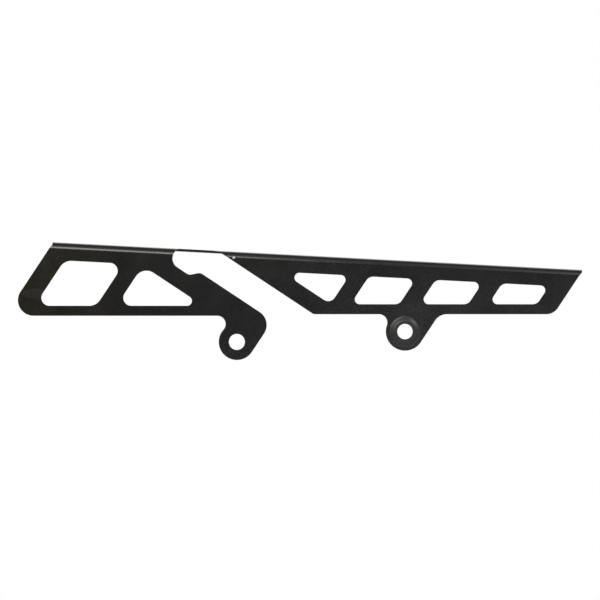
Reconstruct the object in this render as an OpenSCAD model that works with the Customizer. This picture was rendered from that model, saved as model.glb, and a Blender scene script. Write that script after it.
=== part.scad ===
// Motorcycle belt guard: one folded sheet with a wide and a narrow panel.
// Origin on the axis of the wide ear's bore, at the back of the sheet.
// X runs along the feet of the panels toward the narrow end, Z is up.
// The outer face looks along -Y, and the flange reaches over the belt along +Y.

/* [Sheet] */
// Thickness of the sheet
sheet = 2.3; // [1.5:0.1:3]
// Inside radius of the fold
fold_inside_r = 3; // [2:0.25:5]
// Depth of the top flange, from the outer face
flange_depth = 40; // [25:1:60]
// Radius of the flange's two far corners
flange_corner_r = 8; // [2:0.5:15]

/* [Fold line] */
// Height of the fold's outside over the wide ear's bore
fold_height = 81; // [78:0.5:88]
// Fall of the fold toward the narrow end, in degrees
fold_fall = 3; // [2:0.25:4]
// How far each end leans on while it runs over the fold
fold_end_lean = 2.4; // [0:0.2:4]

/* [Slopes] */
// Lean of the ends, posts and ear sides from upright, in degrees
rake = 33.5; // [30:0.5:36]
// Dive of the gap and of the edges beside it from level, in degrees
dive = 33.5; // [31:0.5:36]

/* [Bars and posts] */
// Bar left under the fold, and along the gap, by the windows
top_bar = 16; // [12:0.5:18]
// Bar left under the windows
foot_bar = 9; // [6:0.5:12]
// Posts between the windows
post = 15.2; // [10:0.2:18]
// Post at each end of the guard
end_post = 17.5; // [12:0.5:22]

/* [Wide panel] */
// Distance of the wide end's edge from the wide bore, square to the edge
wide_end = 187.3; // [178:0.5:200]
// Height of the wide panel's foot over the wide bore
wide_foot = 23.5; // [21:0.5:26]
// Width of the four-sided window, square to its posts
wide_window = 46.3; // [36:0.5:52]
// Corner radius of the foot at the wide end
wide_corner_r = 14; // [6:0.5:16]
// Corner radius of the wide panel's windows
wide_window_r = 7.5; // [3:0.5:8]
// Radius of the wide panel's three-sided window at its top
wide_apex_r = 10; // [4:0.5:12]
// Radius of the same window at its sharp corner
wide_tip_r = 4.4; // [2:0.2:6]

/* [Gap] */
// Distance of the wide panel's gap edge from the wide bore
gap_edge = 33.8; // [31:0.2:38]
// Width of the gap between the panels
gap = 25; // [20:0.5:30]
// Radius of the gap's round upper end
gap_end_r = 9.5; // [7:0.5:11]
// Step of the gap's edge at that end, where the gap is wider
gap_step = 7.4; // [5:0.2:9]
// Slope of the step against the gap's edge, in degrees
gap_step_slope = 45; // [35:1:60]
// Radius at the head and the foot of the step
gap_step_r = 6; // [2:0.5:7]
// Distance of the step's foot from the wide bore, along the gap
gap_step_at = 69.2; // [64:0.2:74]
// Distance of the round end's centre from the step's foot
gap_end_at = 12.6; // [9:0.2:16]
// How far the gap runs past the fold into the flange
gap_past_fold = 1; // [0.5:0.5:6]

/* [Wide ear] */
// Bore of the wide ear
wide_bore_d = 14.4; // [10:0.1:18]
// Outside radius of the wide ear
wide_ear_r = 16.3; // [13:0.1:18]
// Radius of the corner between the ear and the gap
wide_shoulder_r = 14; // [6:0.5:15]

/* [Narrow panel] */
// Height of the narrow panel's foot over the wide bore
narrow_foot = 24.9; // [23:0.1:27]
// Distance of the first window's post side from the wide bore
narrow_start = 51.4; // [48:0.2:56]
// Width of each four-sided window, square to its posts
narrow_window = 36.5; // [30:0.5:40]
// Number of four-sided windows
narrow_windows = 3; // [2:1:3]
// Corner radius of the narrow panel's windows
narrow_window_r = 4.6; // [2:0.2:6]
// Radius of the narrow panel's three-sided window at its bottom
narrow_apex_r = 7; // [3:0.2:9]
// Radius of the same window at its sharp corner
narrow_tip_r = 4.4; // [2:0.2:5]
// Corner radius of the foot at the narrow end
narrow_corner_r = 12.6; // [5:0.5:16]
// Corner radius of the foot at the gap
narrow_gap_r = 5; // [2:0.5:12]

/* [Narrow ear] */
// Distance between the two bores along the guard
bore_spacing = 151.2; // [145:0.2:158]
// Height of the narrow bore over the wide one
bore_rise = 9.3; // [5:0.1:13]
// Bore of the narrow ear
narrow_bore_d = 13.8; // [10:0.1:16]
// Outside radius of the narrow ear
narrow_ear_r = 17.2; // [15.5:0.1:19]
// Radius between the narrow ear's raked side and the foot
narrow_ear_blend_r = 12.6; // [5:0.5:16]
// Radius between each ear and the foot before it
ear_fillet_r = 7.5; // [4:0.5:9]

/* [Pressed seat] */
// Height that the seat is pressed out of the sheet
seat_height = 2; // [0.5:0.1:3]
// Radius of the seat's flat top
seat_top_r = 9.9; // [9:0.1:11]
// Radius at the seat's foot
seat_foot_r = 14.4; // [13:0.1:15]

/* [Hidden] */
$fn = 96;

// Arcs run this far over the lines that they touch, so that they cross them
arc_overlap = 0.004;
// Cutting and joining shapes reach this far past what they cut or join
reach = 5;
// The fillet beside an ear laps this far over the foot's bar
ear_lap = 1;
// A corner's fill or cut is this much larger than the corner
corner_scale = 1.05;
// Rings on the pressed seat's slope, and its lap over the panel
seat_steps = 12;
seat_lap = 1;

fold_outside_r = fold_inside_r + sheet;
gap_edge_in = gap_edge - gap_step;
gap_edge_out = gap_edge + gap;
narrow_bore = [bore_spacing, bore_rise];

// A straight edge is [angle of its normal, distance from the wide bore]
function level(height) = [90, height];
function raked(distance) = [-rake, distance];
function diving(distance) = [90 - dive, distance];
function across_gap(distance) = [-dive, distance];
function under_fold(drop) = [90 - fold_fall, fold_height - drop];

// The point where two edges meet
function meet(a, b) =
    [a[1] * sin(b[0]) - b[1] * sin(a[0]), b[1] * cos(a[0]) - a[1] * cos(b[0])]
    / sin(b[0] - a[0]);

// Distance of a point from the wide bore along an edge's normal
function along(angle, point) = point * [cos(angle), sin(angle)];

// The ends of the guard where the fold begins
wide_end_start = meet(raked(-wide_end), under_fold(fold_outside_r));
narrow_end = narrow_start + narrow_windows * (post + narrow_window) + end_post;
narrow_end_start = meet(raked(narrow_end), under_fold(fold_outside_r));

// The same ends on the flange, measured along the fold
flange_from = along(-fold_fall, wide_end_start) + fold_end_lean;
flange_to = along(-fold_fall, narrow_end_start) + fold_end_lean;

// A point at a distance along the fold and a drop under its outside
function on_fold(distance, drop) =
    distance * [cos(fold_fall), -sin(fold_fall)]
    + (fold_height - drop) * [sin(fold_fall), cos(fold_fall)];

// The centre of the gap's round end
gap_end_along = -gap_step_at - gap_end_at;
gap_end_centre = meet(across_gap(gap_end_along), diving(gap_edge_in + gap_end_r));

// The fill or cut between a corner of two straight edges and its arc
module corner(before, tip, after, r) {
    a = (before - tip) / norm(before - tip);
    b = (after - tip) / norm(after - tip);
    half = acos(a * b) / 2;
    centre = tip + (a + b) / norm(a + b) * r / sin(half);
    difference() {
        polygon([
            centre,
            centre + (tip + a * r / tan(half) - centre) * corner_scale,
            centre + (tip - centre) * corner_scale,
            centre + (tip + b * r / tan(half) - centre) * corner_scale
        ]);
        translate(centre) circle(r + arc_overlap);
    }
}

// An outline with rounded corners, its points counter-clockwise as [point, radius]
module outline(corners) {
    count = len(corners);
    function point(i) = corners[(i + count) % count][0];
    function radius(i) = corners[i][1];
    function turn(i) = cross(point(i) - point(i - 1), point(i + 1) - point(i));
    difference() {
        union() {
            polygon([for (i = [0:count - 1]) point(i)]);
            for (i = [0:count - 1])
                if (radius(i) > 0 && turn(i) < 0)
                    corner(point(i - 1), point(i), point(i + 1), radius(i));
        }
        for (i = [0:count - 1])
            if (radius(i) > 0 && turn(i) > 0)
                corner(point(i - 1), point(i), point(i + 1), radius(i));
    }
}

// The wide panel from the front, with its windows
module wide_panel() {
    step_run = gap_step / tan(gap_step_slope);
    step_foot = meet(across_gap(-gap_step_at), diving(gap_edge_in));
    step_head = meet(across_gap(step_run - gap_step_at), diving(gap_edge));
    difference() {
        union() {
            outline([
                [meet(raked(-wide_end), level(wide_foot)), wide_corner_r],
                [[0, wide_foot], 0],
                [[0, 0], 0],
                [wide_ear_r * [cos(rake), -sin(rake)], 0],
                [meet(raked(wide_ear_r), diving(gap_edge)), wide_shoulder_r],
                [step_head, gap_step_r],
                [step_foot, gap_step_r],
                [meet(across_gap(gap_end_along), diving(gap_edge_in)), 0],
                [gap_end_centre, 0],
                [on_fold(along(-fold_fall, gap_end_centre), -reach), 0],
                [on_fold(flange_from, -reach), 0],
                [on_fold(flange_from, sheet), 0],
                [wide_end_start, 0]
            ]);
            circle(wide_ear_r);
            ear_fillet([0, 0], wide_ear_r, wide_foot);
        }
        translate(gap_end_centre) circle(gap_end_r);
        wide_panel_windows();
    }
}

module wide_panel_windows() {
    top = under_fold(top_bar);
    foot = level(wide_foot + foot_bar);
    first = end_post - wide_end;
    second = first + wide_window + post;
    gap_side = diving(gap_edge_in - top_bar);
    outline([
        [meet(raked(first), foot), wide_window_r],
        [meet(raked(first + wide_window), foot), wide_window_r],
        [meet(raked(first + wide_window), top), wide_window_r],
        [meet(raked(first), top), wide_window_r]
    ]);
    outline([
        [meet(raked(second), foot), wide_window_r],
        [meet(gap_side, foot), wide_tip_r],
        [meet(raked(second), gap_side), wide_apex_r]
    ]);
}

// The narrow panel from the front, with its windows
module narrow_panel() {
    foot = level(narrow_foot);
    ear_side = meet(raked(along(-rake, narrow_bore) + narrow_ear_r), foot);
    ear_touch = narrow_bore + narrow_ear_r * [cos(rake), -sin(rake)];
    difference() {
        union() {
            outline([
                [meet(diving(gap_edge_out), foot), narrow_gap_r],
                [[narrow_bore[0], narrow_foot], 0],
                [narrow_bore, 0],
                [ear_touch, 0],
                [ear_side, narrow_ear_blend_r],
                [meet(raked(narrow_end), foot), narrow_corner_r],
                [narrow_end_start, 0],
                [on_fold(flange_to, sheet), 0],
                [on_fold(flange_to, -reach), 0],
                [meet(diving(gap_edge_out), under_fold(-reach)), 0]
            ]);
            translate(narrow_bore) circle(narrow_ear_r);
            ear_fillet(narrow_bore, narrow_ear_r, narrow_foot);
        }
        narrow_panel_windows();
    }
}

module narrow_panel_windows() {
    top = under_fold(top_bar);
    foot = level(narrow_foot + foot_bar);
    gap_side = diving(gap_edge_out + top_bar);
    outline([
        [meet(gap_side, raked(narrow_start)), narrow_apex_r],
        [meet(raked(narrow_start), top), narrow_window_r],
        [meet(gap_side, top), narrow_tip_r]
    ]);
    for (i = [1:narrow_windows]) {
        right = narrow_start + i * (post + narrow_window);
        left = right - narrow_window;
        outline([
            [meet(raked(left), foot), narrow_window_r],
            [meet(raked(right), foot), narrow_window_r],
            [meet(raked(right), top), narrow_window_r],
            [meet(raked(left), top), narrow_window_r]
        ]);
    }
}

// The fillet between an ear and the foot on its left
module ear_fillet(bore, ear_r, foot) {
    rise = foot - ear_fillet_r - bore[1];
    centre = bore + [-sqrt(pow(ear_r + ear_fillet_r, 2) - pow(rise, 2)), rise];
    difference() {
        polygon([
            centre,
            bore,
            [bore[0], foot + ear_lap],
            [centre[0], foot + ear_lap]
        ]);
        translate(centre) circle(ear_fillet_r + arc_overlap);
    }
}

// The folded section: the panel, the fold and the flange
module fold_section() {
    skirt = 2 * fold_height;
    translate([-sheet, -skirt]) square([sheet, skirt - fold_outside_r]);
    translate([fold_inside_r, -sheet])
        square([flange_depth - fold_outside_r, sheet]);
    translate([fold_inside_r, -fold_outside_r]) intersection() {
        difference() {
            circle(fold_outside_r);
            circle(fold_inside_r);
        }
        translate([-2 * fold_outside_r, 0]) square(2 * fold_outside_r);
    }
}

// The frame of the fold: x along it, z = 0 on its outside
module along_fold() {
    rotate([0, fold_fall, 0]) translate([0, 0, fold_height]) children();
}

// A front view carried through the whole depth
module through() {
    translate([0, flange_depth + reach, 0]) rotate([90, 0, 0])
        linear_extrude(flange_depth + 2 * reach + sheet) children();
}

// The long folded strip that the guard is cut from
module blank() {
    length = flange_to - flange_from + 2 * wide_end;
    along_fold() translate([-wide_end - reach + flange_from, 0, 0])
        rotate([90, 0, 90]) linear_extrude(length) fold_section();
}

// The neck of the flange that joins the panels over the gap
module neck() {
    from = along(-fold_fall, gap_end_centre) - gap_end_r;
    to = along(-fold_fall, meet(diving(gap_edge_out), under_fold(fold_outside_r)));
    along_fold() translate([from, fold_inside_r + gap_past_fold, -sheet - reach])
        cube([to - from, flange_depth + reach, sheet + 2 * reach]);
}

// The far corners of the flange
module flange_corners() {
    far = flange_depth - sheet;
    along_fold() translate([0, 0, -reach]) linear_extrude(2 * reach) {
        corner([flange_from, 0], [flange_from, far], [flange_to, far], flange_corner_r);
        corner([flange_to, 0], [flange_to, far], [flange_from, far], flange_corner_r);
    }
}

module bore(centre, d) {
    translate([centre[0], reach, centre[1]]) rotate([90, 0, 0])
        cylinder(h = sheet + seat_height + 2 * reach, d = d);
}

// The seat pressed out round the narrow bore, from its flat top to the panel
module pressed_seat() {
    function rise(s) = seat_height * (1 + cos(180 * s)) / 2;
    function radius(s) = seat_top_r + s * (seat_foot_r - seat_top_r);
    steps = [for (i = [0:seat_steps]) i / seat_steps];
    back = [for (s = steps) [radius(s), rise(s)]];
    front = [for (i = [seat_steps:-1:0]) back[i] + [0, sheet]];
    translate([narrow_bore[0], 0, narrow_bore[1]]) rotate([90, 0, 0])
        rotate_extrude() polygon(concat(
            [[narrow_bore_d / 2, seat_height]], back,
            [[seat_foot_r + seat_lap, 0], [seat_foot_r + seat_lap, sheet]],
            front, [[narrow_bore_d / 2, seat_height + sheet]]
        ));
}

module belt_guard() {
    color([0.14, 0.14, 0.14]) {
        difference() {
            intersection() {
                blank();
                union() {
                    through() {
                        wide_panel();
                        narrow_panel();
                    }
                    neck();
                }
            }
            flange_corners();
            bore([0, 0], wide_bore_d);
            bore(narrow_bore, 2 * seat_foot_r);
        }
        pressed_seat();
    }
}

belt_guard();
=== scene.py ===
import bpy
from math import acos, atan2, cos, degrees, pi, radians, sin, sqrt, tan
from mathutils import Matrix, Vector


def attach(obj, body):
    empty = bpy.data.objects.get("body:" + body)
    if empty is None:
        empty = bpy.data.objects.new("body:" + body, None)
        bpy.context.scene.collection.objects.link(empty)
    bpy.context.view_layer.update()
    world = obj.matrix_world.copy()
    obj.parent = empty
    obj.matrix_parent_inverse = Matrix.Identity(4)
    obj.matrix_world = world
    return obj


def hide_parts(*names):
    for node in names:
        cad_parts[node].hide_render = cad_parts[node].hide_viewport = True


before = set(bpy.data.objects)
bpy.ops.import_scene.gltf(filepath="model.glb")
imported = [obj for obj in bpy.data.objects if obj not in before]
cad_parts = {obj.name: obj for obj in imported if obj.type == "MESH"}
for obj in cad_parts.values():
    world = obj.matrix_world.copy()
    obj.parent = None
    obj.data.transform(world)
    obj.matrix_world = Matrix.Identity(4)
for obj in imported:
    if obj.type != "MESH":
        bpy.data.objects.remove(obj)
bpy.ops.object.select_all(action="DESELECT")
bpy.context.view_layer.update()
scene = bpy.context.scene
mm = 0.001


# the folded sheet in mm and degrees, measured from the bore in the wide panel's ear
sheet = {
    "thickness": 2.3,
    "foldInside": 3.5,  # radius of the bend
    "foldSteps": 16,
    "flangeDepth": 40.0,
    "flangeCorner": 8.0,
    "foldHeight": 81.0,
    "foldFall": 3.0,
    "rake": 33.5,  # ends and posts, from upright
    "dive": 33.5,  # gap, from level
    "topBar": 16.0,
    "gapBar": 16.0,
    "footBar": 9.0,
    "post": 15.2,
    "endPost": 17.5,
    "blankFrom": -230.0,  # the folded blank, before anything is cut from it
    "blankTo": 330.0,
    "skirt": 110.0,
    "arcStep": 5.0,  # degrees from one point of an arc to the next
    "edgeSteps": 8,  # points of the gap's edge over the bend
    "coatRound": 0.32,  # the coat rounds off every cut edge
    "coatAngle": 30.0,
    "smoothAngle": 35.0,
    "flatAngle": 0.1,  # faces that turn less than this are merged
    "weld": 0.02,  # points closer than this are merged
    "past": 5.0,  # cutters reach this far past what they cut
}

widePanel = {
    "end": 187.3,
    "foldLean": 2.69,  # how far the end leans on while it runs over the fold
    "foot": 23.5,
    "window": 46.3,
    "cornerRadius": 14.0,
    "windowRadius": 7.2,
    "bluntRadius": 11.6,
    "apexRadius": 11.4,
    "tipRadius": 4.4,
    "earRadius": 16.3,
    "earFillet": 7.5,
    "shoulderRadius": 14.0,
    "bore": 14.4,
}

gap = {
    "edge": 33.8,
    "width": 25.0,
    "endRadius": 9.5,
    "endAt": 12.6,
    "endTurn": 95.0,  # where the round end runs out into the fold
    "step": 7.4,
    "stepSlope": 45.0,
    "stepRadius": 6.0,
    "stepAt": 69.2,
    "pastFold": 1.0,
}

narrowPanel = {
    "foldLean": 2.69,
    "foot": 24.9,
    "start": 51.4,
    "window": 36.5,
    "windows": 3,
    "windowRadius": 4.4,
    "bluntRadius": 7.6,
    "apexRadius": 7.0,
    "tipRadius": 4.4,
    "cornerRadius": 12.6,
    "gapRadius": 5.0,
    "boreAt": (151.2, 9.3),
    "earRadius": 17.2,
    "earFillet": 7.5,
    "earBlend": 12.6,
}

seat = {
    "bore": 13.8,
    "height": 2.0,
    "topRadius": 8.9,
    "footRadius": 14.3,
    "slopeSteps": 10,
    "sides": 96,
    "weld": 0.002,
    "slack": 0.01,
}

cutters = {
    "boreDepth": 40.0,
    "sides": 96,
    "start": 0.1,  # metres, the radius of a circle before its points are placed
}

foldOutside = sheet["foldInside"] + sheet["thickness"]
gapIn = gap["edge"] - gap["step"]
gapOut = gap["edge"] + gap["width"]
narrowBore = Vector(narrowPanel["boreAt"])


# a straight edge of the front view is the angle of its normal and its distance from the bore
def level(height):
    return 90, height


def raked(distance):
    return -sheet["rake"], distance


def diving(distance):
    return 90 - sheet["dive"], distance


def acrossGap(distance):
    return -sheet["dive"], distance


def underFold(drop):
    return 90 - sheet["foldFall"], sheet["foldHeight"] - drop


def toward(angle):
    return Vector((cos(radians(angle)), sin(radians(angle))))


def meet(one, two):
    a = radians(one[0])
    b = radians(two[0])
    x = one[1] * sin(b) - two[1] * sin(a)
    z = two[1] * cos(a) - one[1] * cos(b)
    return Vector((x, z)) / sin(b - a)


def onFold(distance, drop):
    fall = sheet["foldFall"]
    return distance * toward(-fall) + (sheet["foldHeight"] - drop) * toward(90 - fall)


def alongFold(point):
    return point.dot(toward(-sheet["foldFall"]))


def arc(centre, radius, start, end):
    steps = max(2, round(abs(end - start) / sheet["arcStep"]))
    return [centre + radius * toward(start + (end - start) * i / steps) for i in range(steps + 1)]


# corners are (point, radius), and a radius of 0 leaves the point as it is
def rounded(corners):
    points = []
    for i, (tip, radius) in enumerate(corners):
        if radius == 0:
            points.append(tip)
            continue
        before = (corners[i - 1][0] - tip).normalized()
        after = (corners[(i + 1) % len(corners)][0] - tip).normalized()
        half = acos(before.dot(after)) / 2
        centre = tip + (before + after).normalized() * radius / sin(half)
        start = tip + before * radius / tan(half) - centre
        sweep = (pi - 2 * half) * (1 if before.cross(after) < 0 else -1)
        steps = max(2, round(abs(sweep) * 180 / pi / sheet["arcStep"]))
        for step in range(steps + 1):
            turn = sweep * step / steps
            x = start.x * cos(turn) - start.y * sin(turn)
            z = start.x * sin(turn) + start.y * cos(turn)
            points.append(centre + Vector((x, z)))
    return points


def plain(points):
    return [(point, 0) for point in points]


# from the fillet under the foot round to the raked side of an ear
def earCurve(bore, radius, fillet, foot):
    rise = foot - fillet - bore.y
    middle = bore + Vector((-sqrt((radius + fillet) ** 2 - rise ** 2), rise))
    touch = degrees(atan2(rise, middle.x - bore.x))
    return (arc(middle, fillet, 90, touch - 180)
            + arc(bore, radius, touch, 360 - sheet["rake"])[1:])


wideEndTop = meet(raked(-widePanel["end"]), underFold(foldOutside))
narrowEnd = (narrowPanel["start"] + sheet["endPost"]
             + narrowPanel["windows"] * (sheet["post"] + narrowPanel["window"]))
narrowEndTop = meet(raked(narrowEnd), underFold(foldOutside))
flangeFrom = alongFold(wideEndTop) + widePanel["foldLean"]
flangeTo = alongFold(narrowEndTop) + narrowPanel["foldLean"]
roundEnd = meet(acrossGap(-gap["stepAt"] - gap["endAt"]), diving(gapIn + gap["endRadius"]))


def wideOutline():
    stepRun = gap["step"] / tan(radians(gap["stepSlope"]))
    lip = arc(roundEnd, gap["endRadius"], 270 - sheet["dive"], gap["endTurn"])
    return rounded(
        [(meet(raked(-widePanel["end"]), level(widePanel["foot"])), widePanel["cornerRadius"])]
        + plain(earCurve(Vector((0, 0)), widePanel["earRadius"], widePanel["earFillet"],
                         widePanel["foot"]))
        + [(meet(raked(widePanel["earRadius"]), diving(gap["edge"])), widePanel["shoulderRadius"]),
           (meet(acrossGap(stepRun - gap["stepAt"]), diving(gap["edge"])), gap["stepRadius"]),
           (meet(acrossGap(-gap["stepAt"]), diving(gapIn)), gap["stepRadius"])]
        + plain(lip)
        + plain([onFold(alongFold(lip[-1]), -sheet["past"]),
                 onFold(flangeFrom, -sheet["past"]),
                 onFold(flangeFrom, sheet["thickness"]),
                 wideEndTop]))


def wideWindows():
    top = underFold(sheet["topBar"])
    foot = level(widePanel["foot"] + sheet["footBar"])
    first = sheet["endPost"] - widePanel["end"]
    second = first + widePanel["window"] + sheet["post"]
    gapSide = diving(gapIn - sheet["gapBar"])
    radius = widePanel["windowRadius"]
    blunt = widePanel["bluntRadius"]
    return [
        rounded([(meet(raked(first), foot), radius),
                 (meet(raked(first + widePanel["window"]), foot), blunt),
                 (meet(raked(first + widePanel["window"]), top), radius),
                 (meet(raked(first), top), blunt)]),
        rounded([(meet(raked(second), foot), radius),
                 (meet(gapSide, foot), widePanel["tipRadius"]),
                 (meet(raked(second), gapSide), widePanel["apexRadius"])]),
    ]


# the gap is cut before the sheet is folded, so its edge levels out as it climbs the bend
def edgeOverBend():
    start = alongFold(meet(diving(gapOut), underFold(foldOutside)))
    lean = tan(radians(sheet["dive"] - sheet["foldFall"]))
    points = []
    for i in range(sheet["edgeSteps"] + 1):
        turn = pi / 2 * i / sheet["edgeSteps"]
        points.append(onFold(start - foldOutside * turn / lean, foldOutside * (1 - sin(turn))))
    return points


def narrowOutline():
    foot = level(narrowPanel["foot"])
    overBend = edgeOverBend()[::-1]
    earSide = raked(narrowBore.dot(toward(-sheet["rake"])) + narrowPanel["earRadius"])
    return rounded(
        [(meet(diving(gapOut), foot), narrowPanel["gapRadius"])]
        + plain(earCurve(narrowBore, narrowPanel["earRadius"], narrowPanel["earFillet"],
                         narrowPanel["foot"]))
        + [(meet(earSide, foot), narrowPanel["earBlend"]),
           (meet(raked(narrowEnd), foot), narrowPanel["cornerRadius"])]
        + plain([narrowEndTop,
                 onFold(flangeTo, sheet["thickness"]),
                 onFold(flangeTo, -sheet["past"]),
                 onFold(alongFold(overBend[0]), -sheet["past"])]
                + overBend))


def narrowWindows():
    top = underFold(sheet["topBar"])
    foot = level(narrowPanel["foot"] + sheet["footBar"])
    gapSide = diving(gapOut + sheet["gapBar"])
    start = raked(narrowPanel["start"])
    radius = narrowPanel["windowRadius"]
    blunt = narrowPanel["bluntRadius"]
    windows = [rounded([(meet(gapSide, start), narrowPanel["apexRadius"]),
                        (meet(start, top), radius),
                        (meet(gapSide, top), narrowPanel["tipRadius"])])]
    for i in range(1, narrowPanel["windows"] + 1):
        right = narrowPanel["start"] + i * (sheet["post"] + narrowPanel["window"])
        left = right - narrowPanel["window"]
        windows.append(rounded([(meet(raked(left), foot), radius),
                                (meet(raked(right), foot), blunt),
                                (meet(raked(right), top), radius),
                                (meet(raked(left), top), blunt)]))
    return windows


def activate(piece):
    bpy.ops.object.select_all(action="DESELECT")
    piece.select_set(True)
    bpy.context.view_layer.objects.active = piece


# selects the vertices, edges or faces that pass a test, and leaves edit mode open
def pick(piece, kind, test):
    activate(piece)
    bpy.ops.object.mode_set(mode="EDIT")
    bpy.ops.mesh.select_mode(type={"vertices": "VERT", "edges": "EDGE", "polygons": "FACE"}[kind])
    bpy.ops.mesh.select_all(action="DESELECT")
    bpy.ops.object.mode_set(mode="OBJECT")
    for part in getattr(piece.data, kind):
        part.select = test(part)
    bpy.ops.object.mode_set(mode="EDIT")


def applyAll(piece):
    activate(piece)
    bpy.ops.object.transform_apply(location=True, rotation=True, scale=True)
    for modifier in list(piece.modifiers):
        bpy.ops.object.modifier_apply(modifier=modifier.name)


def joined(pieces):
    activate(pieces[0])
    for piece in pieces:
        piece.select_set(True)
    bpy.ops.object.join()
    return bpy.context.object


# a flat outline from the front, carried through the depth of the guard
def throughPrism(outline):
    back = (sheet["flangeDepth"] + sheet["past"]) * mm
    front = -(sheet["thickness"] + sheet["past"]) * mm
    bpy.ops.mesh.primitive_circle_add(vertices=len(outline), radius=cutters["start"],
                                      fill_type="NGON")
    prism = bpy.context.object
    for vertex, point in zip(prism.data.vertices, outline):
        vertex.co = (point.x * mm, back, point.y * mm)
    pick(prism, "polygons", lambda face: True)
    bpy.ops.mesh.extrude_region_move(TRANSFORM_OT_translate={"value": (0, front - back, 0)})
    bpy.ops.mesh.select_all(action="SELECT")
    bpy.ops.mesh.normals_make_consistent(inside=False)
    bpy.ops.object.mode_set(mode="OBJECT")
    return prism


# turns what is selected in edit mode from a level fold to the real one
def fallWithFold():
    bpy.ops.mesh.select_all(action="SELECT")
    bpy.ops.transform.rotate(value=-radians(sheet["foldFall"]), orient_axis="Y",
                             center_override=(0, 0, 0))


def cut(piece, cutter, operation):
    boolean = piece.modifiers.new("cut", "BOOLEAN")
    boolean.operation = operation
    boolean.solver = "EXACT"
    boolean.object = cutter
    applyAll(piece)
    bpy.data.objects.remove(cutter)


# a flat strip with its front edge pulled down, bent over and given the sheet's thickness
def foldedBlank():
    long = (sheet["blankTo"] - sheet["blankFrom"]) * mm
    deep = sheet["flangeDepth"] * mm
    front = -sheet["thickness"] * mm
    middle = (sheet["blankTo"] + sheet["blankFrom"]) / 2 * mm
    high = sheet["foldHeight"] * mm
    bpy.ops.mesh.primitive_plane_add(size=1, location=(middle, front + deep / 2, high))
    blank = bpy.context.object
    blank.scale = (long, deep, 1)
    applyAll(blank)
    points = blank.data.vertices
    pick(blank, "edges", lambda edge: all(points[i].co.y < 0 for i in edge.vertices))
    bpy.ops.mesh.extrude_region_move(TRANSFORM_OT_translate={"value": (0, 0, -sheet["skirt"] * mm)})
    bpy.ops.object.mode_set(mode="OBJECT")
    points = blank.data.vertices
    pick(blank, "edges", lambda edge: all(points[i].co.y < 0 < points[i].co.z for i in edge.vertices))
    bpy.ops.mesh.bevel(offset=foldOutside * mm, segments=sheet["foldSteps"], profile=0.5)
    fallWithFold()
    bpy.ops.mesh.normals_make_consistent(inside=False)
    bpy.ops.object.mode_set(mode="OBJECT")
    up = max(blank.data.polygons, key=lambda face: abs(face.normal.z) * face.area)
    if up.normal.z < 0:
        blank.data.flip_normals()
    wall = blank.modifiers.new("wall", "SOLIDIFY")
    wall.thickness = sheet["thickness"] * mm
    wall.offset = -1
    wall.use_even_offset = True
    applyAll(blank)
    return blank


# the block that keeps the flange whole over the gap
def neckBlock():
    start = alongFold(roundEnd) - gap["endRadius"]
    end = alongFold(meet(diving(gapOut), underFold(foldOutside)))
    front = sheet["foldInside"] + gap["pastFold"]
    back = sheet["flangeDepth"] + sheet["past"]
    low = sheet["foldHeight"] - sheet["thickness"] - sheet["past"]
    high = sheet["foldHeight"] + sheet["past"]
    bpy.ops.mesh.primitive_cube_add(size=1, location=((start + end) / 2 * mm, (front + back) / 2 * mm,
                                                      (low + high) / 2 * mm))
    block = bpy.context.object
    block.scale = ((end - start) * mm, (back - front) * mm, (high - low) * mm)
    applyAll(block)
    pick(block, "polygons", lambda face: True)
    fallWithFold()
    bpy.ops.object.mode_set(mode="OBJECT")
    return block


# what is left outside one rounded far corner of the flange
def flangeCorner(end, inward):
    far = (sheet["flangeDepth"] - sheet["thickness"]) * mm
    radius = sheet["flangeCorner"] * mm
    size = radius + sheet["past"] * mm
    high = sheet["foldHeight"] * mm
    middle = (end * mm + inward * (radius - size / 2), far - radius + size / 2, high)
    bpy.ops.mesh.primitive_cube_add(size=size, location=middle)
    corner = bpy.context.object
    bpy.ops.mesh.primitive_cylinder_add(vertices=cutters["sides"], radius=radius, depth=3 * size,
                                        location=(end * mm + inward * radius, far - radius, high))
    cut(corner, bpy.context.object, "DIFFERENCE")
    pick(corner, "polygons", lambda face: True)
    fallWithFold()
    bpy.ops.object.mode_set(mode="OBJECT")
    return corner


def boreCutter(centre, radius, sides):
    bpy.ops.mesh.primitive_cylinder_add(vertices=sides, radius=radius * mm,
                                        depth=cutters["boreDepth"] * mm,
                                        location=(centre.x * mm, 0, centre.y * mm),
                                        rotation=(pi / 2, 0, 0))
    cutter = bpy.context.object
    applyAll(cutter)
    return cutter


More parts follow.
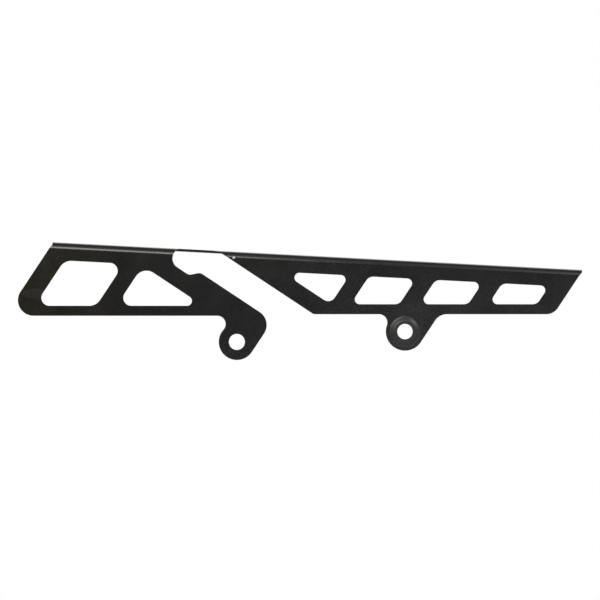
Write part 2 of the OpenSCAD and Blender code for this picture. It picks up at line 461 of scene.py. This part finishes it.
# a short line spun round the bore: the flat land, the slope and the wall of the bore
def pressedSeat():
    inner = seat["bore"] / 2
    profile = [(inner, seat["height"])]
    for step in range(seat["slopeSteps"] + 1):
        share = step / seat["slopeSteps"]
        radius = seat["topRadius"] + share * (seat["footRadius"] - seat["topRadius"])
        profile.append((radius, seat["height"] * (1 + cos(pi * share)) / 2))
    loop = profile[::-1] + [(radius, height + sheet["thickness"]) for radius, height in profile]
    bpy.ops.mesh.primitive_circle_add(vertices=len(loop), radius=cutters["start"])
    ring = bpy.context.object
    for vertex, (radius, height) in zip(ring.data.vertices, loop):
        vertex.co = ((narrowBore.x + radius) * mm, -height * mm, narrowBore.y * mm)
    points = ring.data.vertices
    foot = (narrowBore.x + seat["footRadius"] - seat["slack"]) * mm
    pick(ring, "edges", lambda edge: all(points[i].co.x > foot for i in edge.vertices))
    bpy.ops.mesh.delete(type="EDGE")
    bpy.ops.mesh.select_all(action="SELECT")
    bpy.ops.mesh.spin(steps=seat["sides"], angle=2 * pi, axis=(0, 1, 0),
                      center=(narrowBore.x * mm, 0, narrowBore.y * mm))
    bpy.ops.mesh.select_all(action="SELECT")
    bpy.ops.mesh.remove_doubles(threshold=seat["weld"] * mm)
    bpy.ops.mesh.normals_make_consistent(inside=False)
    bpy.ops.object.mode_set(mode="OBJECT")
    land = max(ring.data.polygons, key=lambda face: -face.center.y)
    if land.normal.y > 0:
        ring.data.flip_normals()
    return ring


def guardSheet():
    keeper = joined([throughPrism(wideOutline()), throughPrism(narrowOutline())])
    cut(keeper, neckBlock(), "UNION")
    guard = foldedBlank()
    cut(guard, keeper, "INTERSECT")
    print("guard: outline cut from the folded blank")
    waste = [throughPrism(window) for window in wideWindows() + narrowWindows()]
    waste.append(boreCutter(Vector((0, 0)), widePanel["bore"] / 2, cutters["sides"]))
    waste.append(boreCutter(narrowBore, seat["footRadius"], seat["sides"]))
    waste.append(flangeCorner(flangeFrom, 1))
    waste.append(flangeCorner(flangeTo, -1))
    cut(guard, joined(waste), "DIFFERENCE")
    print("guard: windows, bores and flange corners cut")

    # the plain hole's wall gives way to the seat's slope
    rim = (seat["footRadius"] + sheet["weld"]) * mm
    middle = Vector((narrowBore.x * mm, narrowBore.y * mm))
    pick(guard, "polygons", lambda face: abs(face.normal.y) < 0.1
         and (Vector((face.center.x, face.center.z)) - middle).length < rim)
    bpy.ops.mesh.delete(type="FACE")
    bpy.ops.object.mode_set(mode="OBJECT")
    # the boolean leaves points between the corners of the hole, and they slide to the nearest one
    turn = 2 * pi / seat["sides"]
    for vertex in guard.data.vertices:
        spoke = Vector((vertex.co.x, vertex.co.z)) - middle
        if spoke.length < rim:
            corner = turn * round(atan2(spoke.y, spoke.x) / turn)
            vertex.co.x = middle.x + seat["footRadius"] * mm * cos(corner)
            vertex.co.z = middle.y + seat["footRadius"] * mm * sin(corner)
    guard = joined([guard, pressedSeat()])
    pick(guard, "vertices", lambda vertex: True)
    bpy.ops.mesh.remove_doubles(threshold=sheet["weld"] * mm)
    bpy.ops.mesh.select_all(action="SELECT")
    bpy.ops.mesh.dissolve_limited(angle_limit=radians(sheet["flatAngle"]))
    bpy.ops.object.mode_set(mode="OBJECT")
    print("guard: seat joined in")

    coat = guard.modifiers.new("coat", "BEVEL")
    coat.width = sheet["coatRound"] * mm
    coat.segments = 2
    coat.limit_method = "ANGLE"
    coat.angle_limit = radians(sheet["coatAngle"])
    coat.use_clamp_overlap = True
    coat.harden_normals = False
    applyAll(guard)
    guard.name = "guard_sheet"
    guard.data.name = "guard_sheet"
    bpy.ops.object.shade_smooth_by_angle(angle=radians(sheet["smoothAngle"]))
    even = guard.modifiers.new("even", "WEIGHTED_NORMAL")
    even.keep_sharp = True
    even.weight = 60
    applyAll(guard)
    print("guard: edges rounded,", len(guard.data.polygons), "faces")
    return guard


guard = guardSheet()
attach(guard, "root")
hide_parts("belt_guard")


# wraps an output socket, so that an expression adds its Math nodes
class Signal:
    def __init__(self, tree, socket):
        self.tree = tree
        self.socket = socket

    def maths(self, operation, first, second):
        node = self.tree.nodes.new("ShaderNodeMath")
        node.operation = operation
        for entry, term in zip(node.inputs, (first, second)):
            feed(self.tree, entry, term)
        return Signal(self.tree, node.outputs[0])

    def __add__(self, other):
        return self.maths("ADD", self, other)

    def __radd__(self, other):
        return self.maths("ADD", other, self)

    def __sub__(self, other):
        return self.maths("SUBTRACT", self, other)

    def __rsub__(self, other):
        return self.maths("SUBTRACT", other, self)

    def __mul__(self, other):
        return self.maths("MULTIPLY", self, other)

    def __truediv__(self, other):
        return self.maths("DIVIDE", self, other)


def feed(tree, entry, term):
    if isinstance(term, Signal):
        tree.links.new(term.socket, entry)
    else:
        entry.default_value = term


class Nodes:
    def __init__(self, owner):
        owner.use_nodes = True
        self.tree = owner.node_tree
        self.tree.nodes.clear()

    # settings come first, then the sockets by name or number
    def add(self, kind, settings=None, sockets=None, out=0):
        node = self.tree.nodes.new(kind)
        for name, value in (settings or {}).items():
            setattr(node, name, value)
        for name, term in (sockets or {}).items():
            feed(self.tree, node.inputs[name], term)
        return Signal(self.tree, node.outputs[out]) if node.outputs else None


powderCoat = {
    "colour": (0.0068, 0.0066, 0.0069, 1),
    "olive": (0.0070, 0.0064, 0.0030, 1),  # the tint toward the wide end
    "oliveFrom": -0.07,
    "oliveFull": -0.19,
    "roughness": 0.22,
    "peel": 700.0,  # scale of the orange peel, and so on down to the widest unevenness
    "grain": 2600.0,
    "mottle": 42.0,
    "haze": 10.0,
    "bump": 0.35,
    "bumpHeight": 0.00006,
    "refraction": 1.5,
    # places rubbed duller: centre and half size in mm, share that fades out, gain in roughness
    "rubbed": [((151.2, 9.3), (14.4, 14.4), 0.16, 0.16),
               ((-181.0, 43.5), (15.0, 6.0), 0.8, 0.07)],
    "paintedGlint": ((-2.8, 75.8), (1.55, 1.4), 0.7),  # painted highlight: a light spot by the gap, standing in for the glint where the bend's cut corner catches the light
    # the light grey that paints that glint
    "glintGrey": (0.44, 0.44, 0.44, 1),
}


def powderCoatMaterial():
    material = bpy.data.materials.new("powder_coat")
    nodes = Nodes(material)
    place = nodes.add("ShaderNodeTexCoord", out="Object")
    across = nodes.add("ShaderNodeSeparateXYZ", sockets={0: place}, out="X")
    deep = nodes.add("ShaderNodeSeparateXYZ", sockets={0: place}, out="Y")
    high = nodes.add("ShaderNodeSeparateXYZ", sockets={0: place}, out="Z")
    peel = nodes.add("ShaderNodeTexNoise",
                     sockets={"Vector": place, "Scale": powderCoat["peel"], "Detail": 3.0,
                              "Roughness": 0.5})
    grain = nodes.add("ShaderNodeTexNoise",
                      sockets={"Vector": place, "Scale": powderCoat["grain"], "Detail": 2.0})
    mottle = nodes.add("ShaderNodeTexNoise",
                       sockets={"Vector": place, "Scale": powderCoat["mottle"], "Detail": 5.0,
                                "Roughness": 0.62})
    haze = nodes.add("ShaderNodeTexNoise",
                     sockets={"Vector": place, "Scale": powderCoat["haze"], "Detail": 2.0})

    tint = nodes.add("ShaderNodeMapRange", {"interpolation_type": "SMOOTHSTEP"},
                     {"Value": across, "From Min": powderCoat["oliveFrom"],
                      "From Max": powderCoat["oliveFull"]})
    tint = tint * (haze * 0.9 + 0.45)
    colour = nodes.add("ShaderNodeMix", {"data_type": "RGBA", "clamp_factor": True},
                       {0: tint, 6: powderCoat["colour"], 7: powderCoat["olive"]}, out=2)
    shade = mottle * 0.35 + haze * 0.25 + 0.70
    colour = nodes.add("ShaderNodeVectorMath", {"operation": "SCALE"}, {0: colour, "Scale": shade})
    roughness = powderCoat["roughness"] + (mottle - 0.5) * 0.12 + (haze - 0.5) * 0.08

    # 1 on the outer face and 0 on the back
    outer = nodes.add("ShaderNodeMapRange",
                      sockets={"Value": deep, "From Min": -0.2 * sheet["thickness"] * mm,
                               "From Max": -0.5 * sheet["thickness"] * mm})

    # 1 inside an oval on the outer face, fading to 0 at its edge
    def oval(centre, size, fade):
        right = (across - centre[0] * mm) / (size[0] * mm)
        up = (high - centre[1] * mm) / (size[1] * mm)
        return outer * nodes.add("ShaderNodeMapRange", {"interpolation_type": "SMOOTHSTEP"},
                                 {"Value": right * right + up * up, "From Min": 1.0,
                                  "From Max": 1 - fade})

    for centre, size, fade, gain in powderCoat["rubbed"]:
        roughness = roughness + oval(centre, size, fade) * gain
    # paints the glint by the gap into the coat's colour as a light-grey spot: a painted highlight
    paintedGlint = oval(*powderCoat["paintedGlint"])
    colour = nodes.add("ShaderNodeMix", {"data_type": "RGBA"},
                       {0: paintedGlint, 6: colour, 7: powderCoat["glintGrey"]}, out=2)
    height = peel * 0.7 + grain * 0.3
    bump = nodes.add("ShaderNodeBump", sockets={"Height": height, "Strength": powderCoat["bump"],
                                                "Distance": powderCoat["bumpHeight"]})
    surface = nodes.add("ShaderNodeBsdfPrincipled",
                        sockets={"Base Color": colour, "Roughness": roughness, "Normal": bump,
                                 "IOR": powderCoat["refraction"]})
    nodes.add("ShaderNodeOutputMaterial", sockets={"Surface": surface})
    return material


guard.data.materials.clear()
guard.data.materials.append(powderCoatMaterial())
print("material: powder coat")


studio = {
    "aim": (0.0568, 0.0, 0.0377),
    "distance": 6.0,
    "across": 0.54,  # what the frame takes in at the guard
    "sensor": 36.0,
    "clipEnd": 50.0,
    "floor": -0.3,
    "floorSize": 2.8,
    "floorColour": (0.9, 0.9, 0.9, 1),
    "floorRoughness": 0.9,
    "ambient": 0.25,  # for diffuse rays
    "front": 0.105,  # what the guard mirrors: the dark room round the camera,
    "tent": 0.8,  # the white tent beside and behind it,
    "tentEdge": (-0.94, -0.55),
    "roof": 0.35,  # and the gap between the lamps overhead
    "roofEdge": (0.86, 0.97),
}

# over the wide panel's bend and the narrow one's, a wide one from the right, one behind, one below
lamps = [
    {"place": (-0.30, -0.92, 0.52), "target": (-0.05, 0, 0.05), "size": (0.66, 0.46),
     "radiance": 7.6, "colour": (1.0, 0.98, 0.90)},
    {"place": (0.43, -0.80, 0.55), "target": (0.28, 0, 0.05), "size": (0.2, 0.4),
     "radiance": 2.2, "colour": (1.0, 1.0, 1.0)},
    {"place": (0.95, -0.62, 0.80), "target": (0.15, 0, 0.05), "size": (0.6, 0.6),
     "radiance": 4.0, "colour": (1.0, 1.0, 1.0)},
    {"place": (0.1, 1.6, 1.4), "target": (0.05, 0, 0.05), "size": (1.4, 0.8),
     "radiance": 2.0, "colour": (1.0, 1.0, 1.0)},
    {"place": (0.46, -1.0, -0.13), "target": (0.35, 0, 0.03), "size": (0.8, 0.1),
     "radiance": 3.4, "colour": (1.0, 1.0, 1.0)},
]


def addCamera():
    aim = studio["aim"]
    bpy.ops.object.camera_add(location=(aim[0], aim[1] - studio["distance"], aim[2]),
                              rotation=(pi / 2, 0, 0))
    camera = bpy.context.object
    camera.data.sensor_width = studio["sensor"]
    camera.data.lens = studio["sensor"] * studio["distance"] / studio["across"]
    camera.data.clip_end = studio["clipEnd"]
    scene.camera = camera


# a soft lamp at a place, turned to shine on the guard
def addLamp(place, target, size, radiance, colour):
    place = Vector(place)
    way = place - Vector(target)
    bpy.ops.object.light_add(type="AREA", location=place)
    lamp = bpy.context.object
    lamp.rotation_euler = way.to_track_quat("Z", "Y").to_euler()
    lamp.data.shape = "RECTANGLE"
    lamp.data.size = size[0]
    lamp.data.size_y = size[1]
    lamp.data.energy = radiance * pi * size[0] * size[1]
    lamp.data.color = colour
    lamp.visible_camera = False


def addFloor():
    bpy.ops.mesh.primitive_plane_add(size=studio["floorSize"],
                                     location=(studio["aim"][0], 0, studio["floor"]))
    floor = bpy.context.object
    floor.name = "floor"
    applyAll(floor)
    material = bpy.data.materials.new("floor")
    nodes = Nodes(material)
    surface = nodes.add("ShaderNodeBsdfPrincipled",
                        sockets={"Base Color": studio["floorColour"],
                                 "Roughness": studio["floorRoughness"]})
    nodes.add("ShaderNodeOutputMaterial", sockets={"Surface": surface})
    floor.data.materials.append(material)


# white where the camera sees past the guard, and behind it for reflections, dim in front
def addWorld():
    world = bpy.data.worlds.new("studio")
    scene.world = world
    nodes = Nodes(world)
    ray = nodes.add("ShaderNodeLightPath", out="Is Camera Ray")
    glossy = nodes.add("ShaderNodeLightPath", out="Is Glossy Ray")
    way = nodes.add("ShaderNodeTexCoord", out="Generated")
    deep = nodes.add("ShaderNodeSeparateXYZ", sockets={0: way}, out="Y")
    high = nodes.add("ShaderNodeSeparateXYZ", sockets={0: way}, out="Z")
    tent = nodes.add("ShaderNodeMapRange", {"interpolation_type": "SMOOTHSTEP"},
                     {"Value": deep, "From Min": studio["tentEdge"][0],
                      "From Max": studio["tentEdge"][1], "To Min": studio["front"],
                      "To Max": studio["tent"]})
    roof = nodes.add("ShaderNodeMapRange", {"interpolation_type": "SMOOTHSTEP"},
                     {"Value": high, "From Min": studio["roofEdge"][0],
                      "From Max": studio["roofEdge"][1], "To Min": 1.0, "To Max": studio["roof"]})
    strength = ray + (1 - ray) * (glossy * tent * roof + (1 - glossy) * studio["ambient"])
    glow = nodes.add("ShaderNodeBackground", sockets={"Color": (1, 1, 1, 1), "Strength": strength})
    nodes.add("ShaderNodeOutputWorld", sockets={"Surface": glow})


addCamera()
for lamp in lamps:
    addLamp(**lamp)
addFloor()
addWorld()
scene.view_settings.view_transform = "Standard"
print("studio: camera, lamps and floor")
